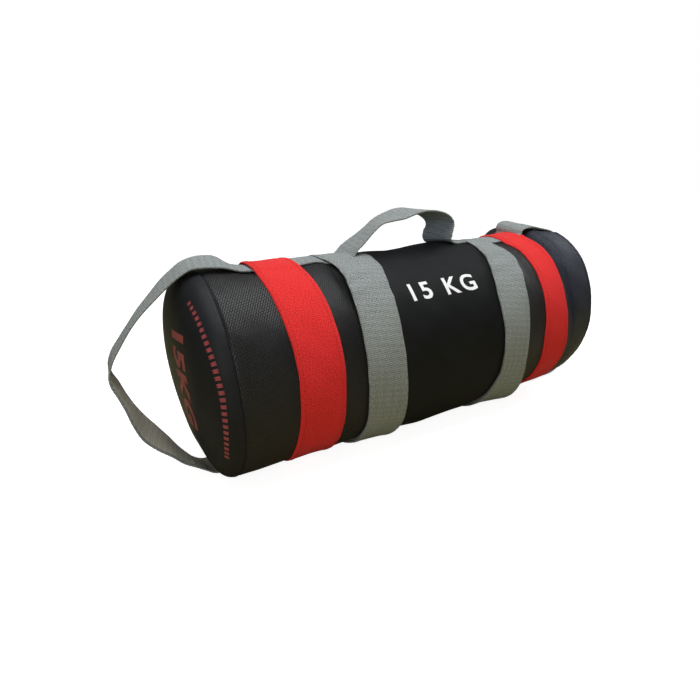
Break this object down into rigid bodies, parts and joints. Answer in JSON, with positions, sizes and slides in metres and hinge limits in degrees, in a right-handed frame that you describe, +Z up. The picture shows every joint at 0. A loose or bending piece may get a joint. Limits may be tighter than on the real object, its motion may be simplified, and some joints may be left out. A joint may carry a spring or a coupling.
{
  "type": "sandbag trainer",
  "caption": "Cylindrical weighted training bag with webbing bands, a carry handle on top and a webbing loop at each end.",
  "frame": {"origin": "on the floor under the middle of the bag", "axes": "+X along the bag to the right in its front view, -Y the front, +Z up through the carry handle"},
  "size_m": [0.742, 0.2394, 0.2828],
  "materials": {
    "vinyl": "matte black coated fabric with a fine embossed weave",
    "vinyl_end": "black coated fabric, slightly glossier",
    "red_fabric": "woven red tape",
    "webbing": "ribbed grey polypropylene webbing",
    "foam": "open cell foam",
    "liner": "woven polypropylene sack",
    "sand": "dry sand",
    "tie": "nylon"
  },
  "bodies": {
    "bag": {"outer_shell": "vinyl", "end_panel_left": "vinyl_end", "end_panel_right": "vinyl_end", "red_band_left": "red_fabric", "red_band_right": "red_fabric", "grey_band_left": "webbing", "grey_band_right": "webbing", "top_web_left": "webbing", "top_web_right": "webbing", "bottom_web_left": "webbing", "bottom_web_right": "webbing", "handle_root_left": "webbing", "handle_root_right": "webbing", "loop_left_root_top": "webbing", "loop_left_root_bottom": "webbing", "loop_right_root_top": "webbing", "loop_right_root_bottom": "webbing", "foam_sleeve": "foam", "foam_end_left": "foam", "foam_end_right": "foam", "liner_bag": "liner", "liner_tie": "tie", "sand_fill": "sand"},
    "top_handle": {"top_handle": "webbing"},
    "loop_left": {"loop_left": "webbing"},
    "loop_right": {"loop_right": "webbing"}
  },
  "joints": [
    {"name": "top_handle_tilt", "type": "hinge", "parent": "bag", "child": "top_handle", "pos_m": [0, 0, 0.23688], "axis": [1, 0, 0], "range_deg": [-45, 45], "stiffness_Nm_per_rad": 0.05, "deforming": ["handle_root_left", "handle_root_right"]},
    {"name": "loop_left_swing", "type": "hinge", "parent": "bag", "child": "loop_left", "pos_m": [-0.198, 0, 0.11578], "axis": [0, 0, 1], "range_deg": [-45, 45], "stiffness_Nm_per_rad": 0.05, "deforming": ["loop_left_root_top", "loop_left_root_bottom"]},
    {"name": "loop_right_swing", "type": "hinge", "parent": "bag", "child": "loop_right", "pos_m": [0.198, 0, 0.11578], "axis": [0, 0, 1], "range_deg": [-45, 45], "stiffness_Nm_per_rad": 0.05, "deforming": ["loop_right_root_top", "loop_right_root_bottom"]}
  ]
}
